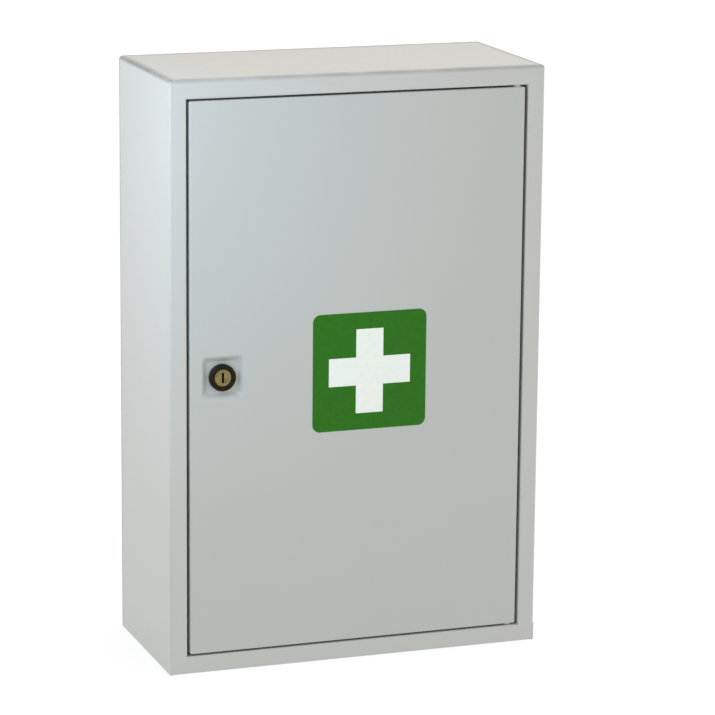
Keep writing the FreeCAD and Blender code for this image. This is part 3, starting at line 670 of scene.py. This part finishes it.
def powder_coat(name, colour, shade_top_bends=False):
    """Semi-gloss powder coat: fine orange peel, faint clouding, and on the case painted shade that darkens its top
    bends.
    """
    coat = Finish(name, IOR=1.5)
    darker = [value * CLOUD_TONE for value in colour]
    tone = coat.cloud(colour, darker, scale=9, detail=3)
    # Painted shade: the paint is made darker along the case's top bends and broken up in patches.
    if shade_top_bends:
        patches = coat.spread(coat.noise(scale=45, detail=5), low=0.55, high=1)
        painted_shade_amount = coat.sum_up("MULTIPLY", top_bend_shade(coat), patches)
        tone = coat.blend(painted_shade_amount, tone, [value * PAINTED_SHADE_TONE for value in colour])
    coat.feed("Base Color", tone)
    coat.roughen(0.29, 0.33, scale=240, detail=3)
    peel = coat.bump(coat.noise(scale=520, detail=2), strength=0.08, distance=0.0003)
    fine_peel = coat.bump(coat.noise(scale=2400, detail=1), strength=0.05, distance=0.0001, under=peel)
    coat.feed("Normal", fine_peel)
    return coat.material


def bright_zinc(name):
    """Zinc plating: cloudy, faintly blue and yellow, with fine scratches."""
    zinc = Finish(name, Metallic=1.0)
    zinc.feed("Base Color", zinc.cloud((0.62, 0.64, 0.66), (0.70, 0.69, 0.64), scale=180, detail=3))
    zinc.roughen(0.24, 0.40, scale=700, detail=4)
    drawn = zinc.centred((0, 0, 0), scale=(1, 1, 14))
    scratches = zinc.noise(scale=600, detail=3, place=drawn)
    zinc.feed("Normal", zinc.bump(scratches, strength=0.12, distance=0.0001))
    return zinc.material


def turning_marks(finish, scale):
    """Fine rings about the lock's axis, as a lathe leaves them."""
    about_axis = finish.centred(lock_axis)
    rings = finish.add("TexWave", Vector=about_axis, Scale=scale, Distortion=0.6, Detail=2.0)
    rings.wave_type = "RINGS"
    rings.rings_direction = "Y"
    return rings.outputs["Fac"]


def black_nickel(name):
    """Dark plating on the lock head, worn a little brown, with fine turning marks."""
    nickel = Finish(name, Metallic=0.15, Specular_IOR_Level=0.1)
    worn = nickel.cloud((0.007, 0.006, 0.002), (0.018, 0.015, 0.006), scale=420, detail=4)
    nickel.feed("Base Color", worn)
    nickel.roughen(0.30, 0.46, scale=900, detail=4)
    nickel.feed("Normal", nickel.bump(turning_marks(nickel, 900), strength=0.10, distance=0.0001))
    return nickel.material


def turned_brass(name):
    """Turned brass, dulled in patches."""
    brass = Finish(name, Metallic=0.85)
    brass.feed("Base Color", brass.cloud((0.30, 0.25, 0.11), (0.15, 0.125, 0.045), scale=500, detail=4))
    brass.roughen(0.28, 0.44, scale=800, detail=3)
    brass.feed("Normal", brass.bump(turning_marks(brass, 700), strength=0.15, distance=0.0001))
    return brass.material


def natural_nylon(name):
    """Natural nylon, slightly clouded and dulled."""
    nylon = Finish(name, Subsurface_Weight=0.15, Subsurface_Radius=(0.0010, 0.0009, 0.0007))
    nylon.feed("Base Color", nylon.cloud((0.52, 0.51, 0.47), (0.46, 0.45, 0.41), scale=300, detail=3))
    nylon.roughen(0.38, 0.50, scale=900, detail=2)
    grain = nylon.noise(scale=1500, detail=2)
    nylon.feed("Normal", nylon.bump(grain, strength=0.05, distance=0.0001))
    return nylon.material


def moulded_rubber(name):
    """Black rubber with a fine moulded grain."""
    rubber = Finish(name)
    black = rubber.cloud((0.020, 0.020, 0.021), (0.035, 0.034, 0.033), scale=400, detail=3)
    rubber.feed("Base Color", black)
    rubber.roughen(0.62, 0.80, scale=1200, detail=3)
    grain = rubber.noise(scale=2200, detail=3)
    rubber.feed("Normal", rubber.bump(grain, strength=0.25, distance=0.0001))
    return rubber.material


def printed_vinyl(name, colour, deeper):
    """Printed vinyl film: soft gloss, faint mottle of the ink, and a little of the paint's peel."""
    vinyl = Finish(name, Specular_IOR_Level=0.2)
    vinyl.feed("Base Color", vinyl.cloud(colour, deeper, scale=260, detail=4))
    vinyl.roughen(0.36, 0.46, scale=500, detail=3)
    peel = vinyl.noise(scale=620, detail=2)
    vinyl.feed("Normal", vinyl.bump(peel, strength=0.05, distance=0.0003))
    return vinyl.material


def make_finishes():
    """One finish for each material slot of the record."""
    case_grey = (0.459, 0.465, 0.449)
    door_grey = (0.424, 0.440, 0.425)
    return {
        # The case paint carries painted shade along its top bends.
        "case_paint": powder_coat("case_powder_coat", case_grey, shade_top_bends=True),
        "door_paint": powder_coat("door_powder_coat", door_grey),
        "zinc_plate": bright_zinc("bright_zinc"),
        "lock_black": black_nickel("black_nickel"),
        "plug_brass": turned_brass("turned_brass"),
        "bush_nylon": natural_nylon("natural_nylon"),
        "buffer_rubber": moulded_rubber("moulded_rubber"),
        "sign_green": printed_vinyl("green_vinyl", (0.016, 0.140, 0.0012), (0.013, 0.122, 0.0008)),
        "sign_white": printed_vinyl("white_vinyl", (0.74, 0.77, 0.73), (0.70, 0.74, 0.69)),
    }


def paint_nodes():
    """Gives each CAD node the finish of its slot."""
    for part in frame["record"]["subparts"]:
        materials = frame["nodes"][part["node"]].data.materials
        materials.clear()
        materials.append(finishes[part["material_slot"]])


def make_floor():
    """A wide white light table that fills the view behind the cabinet."""
    bpy.ops.object.select_all(action="DESELECT")
    bpy.ops.mesh.primitive_plane_add(size=TABLE_SIZE, location=(0, 0, 0))
    floor = bpy.context.object
    floor.name = "studio_floor"
    table = Finish("light_table", Roughness=0.9, Emission_Color=(1, 1, 1, 1), Emission_Strength=TABLE_GLOW)
    table.feed("Base Color", table.cloud((0.30, 0.30, 0.30), (0.29, 0.29, 0.29), scale=3, detail=2))
    floor.data.materials.append(table.material)


def add_light(name, place, target, size, spread, power, colour):
    """A soft square light at its place, turned to its target, with its spread in degrees."""
    light = bpy.data.lights.new(name, "AREA")
    light.shape = "SQUARE"
    light.size = size
    light.spread = math.radians(spread)
    light.energy = power
    light.color = colour
    lamp = bpy.data.objects.new(name, light)
    lamp.location = place
    lamp.rotation_euler = (Vector(target) - Vector(place)).to_track_quat("-Z", "Y").to_euler()
    bpy.context.collection.objects.link(lamp)


def set_surroundings():
    """White surroundings that are brighter on the right."""
    world = bpy.data.worlds.new("studio")
    world.use_nodes = True
    bpy.context.scene.world = world
    tree = world.node_tree
    way = tree.nodes.new("ShaderNodeSeparateXYZ")
    tree.links.new(tree.nodes.new("ShaderNodeTexCoord").outputs["Generated"], way.inputs[0])
    shade = tree.nodes.new("ShaderNodeMix")
    shade.data_type = "RGBA"
    tree.links.new(way.outputs["X"], shade.inputs["Factor"])
    for socket, colour in zip(colour_sockets(shade.inputs), (SURROUND_LEFT, SURROUND_RIGHT)):
        socket.default_value = (*colour, 1)
    tree.links.new(colour_sockets(shade.outputs)[0], tree.nodes["Background"].inputs["Color"])


def light_studio():
    """The surroundings, a cool light at the upper left, and dim ones by the left side and over the top."""
    set_surroundings()
    add_light("upper_left", place=(-0.47, -0.31, 0.56), target=(-0.12, 0, 0.38),
              size=0.30, spread=100, power=0.726, colour=(0.54, 0.78, 1.0))
    add_light("left_side", place=(-0.40, -0.12, 0.56), target=(-0.15, -0.05, 0.38),
              size=0.20, spread=110, power=0.110, colour=(0.90, 0.80, 0.80))
    add_light("over_top", place=(0.35, 0.35, 0.95), target=(0.1, 0, 0.46),
              size=0.40, spread=90, power=0.15, colour=(1.0, 0.88, 0.76))
    bpy.context.scene.view_settings.view_transform = "Standard"


def aim_camera():
    """The camera that took the photograph, as fitted to the cabinet's corners."""
    yaw, pitch, roll = (math.radians(angle) for angle in (CAMERA_YAW, CAMERA_PITCH, CAMERA_ROLL))
    turn = (Matrix.Rotation(-yaw, 4, "Z") @ Matrix.Rotation(math.pi / 2 - pitch, 4, "X")
            @ Matrix.Rotation(roll, 4, "Z"))
    camera = bpy.data.objects.new("camera", bpy.data.cameras.new("camera"))
    camera.data.sensor_width = CAMERA_SENSOR
    camera.data.lens = CAMERA_LENS
    camera.matrix_world = Matrix.Translation(CAMERA_TARGET) @ turn @ Matrix.Translation(
        (*CAMERA_SLIDE, CAMERA_DISTANCE))
    bpy.context.collection.objects.link(camera)
    bpy.context.scene.camera = camera


finishes = make_finishes()
paint_nodes()
model_case_wrap()
model_floor_pan()
model_door_panel()
model_shelf("upper")
model_shelf("lower")
model_door_channel()
model_lock_housing()
model_lock_core()
make_floor()
light_studio()
aim_camera()
